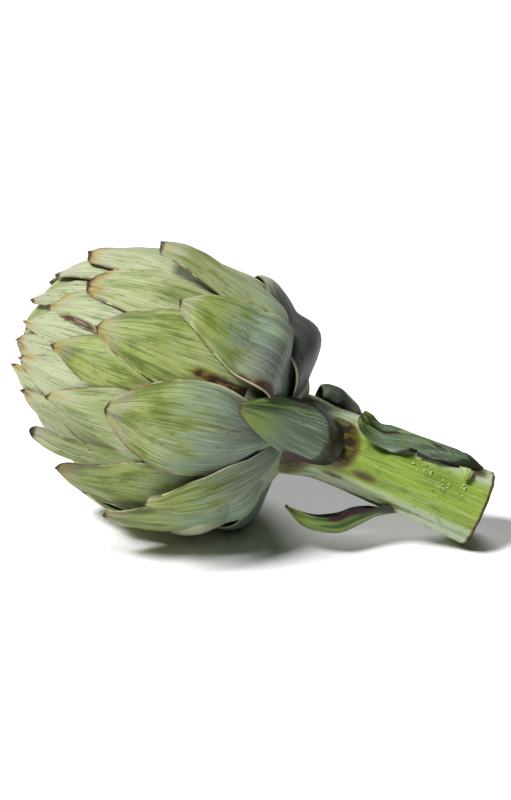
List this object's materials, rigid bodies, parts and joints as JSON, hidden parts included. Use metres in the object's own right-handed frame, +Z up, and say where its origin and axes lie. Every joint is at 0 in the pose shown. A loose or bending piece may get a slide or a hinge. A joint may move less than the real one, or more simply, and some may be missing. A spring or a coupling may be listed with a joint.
{
  "type": "globe artichoke",
  "caption": "Whole globe artichoke with overlapping bracts, one standing off, and a short cut ribbed stem with small leaves, lying on its side.",
  "frame": {"origin": "centre of the small flat spot under the head, on the surface that the artichoke lies on", "axes": "+Z up from that surface, -X towards the tip of the head, +X towards the cut end of the stem, which turns a little to +Y"},
  "size_m": [0.1804, 0.109, 0.1145],
  "materials": {
    "bract_green": "satin, with a dull grey bloom",
    "stem_green": "satin, slightly moist",
    "leaf_green": "satin"
  },
  "bodies": {
    "root": {"head": "bract_green", "stem": "stem_green", "stem_leaf_front": "leaf_green", "stem_leaf_under": "leaf_green", "stem_leaf_top": "leaf_green", "stem_leaf_back": "leaf_green"}
  },
  "joints": []
}
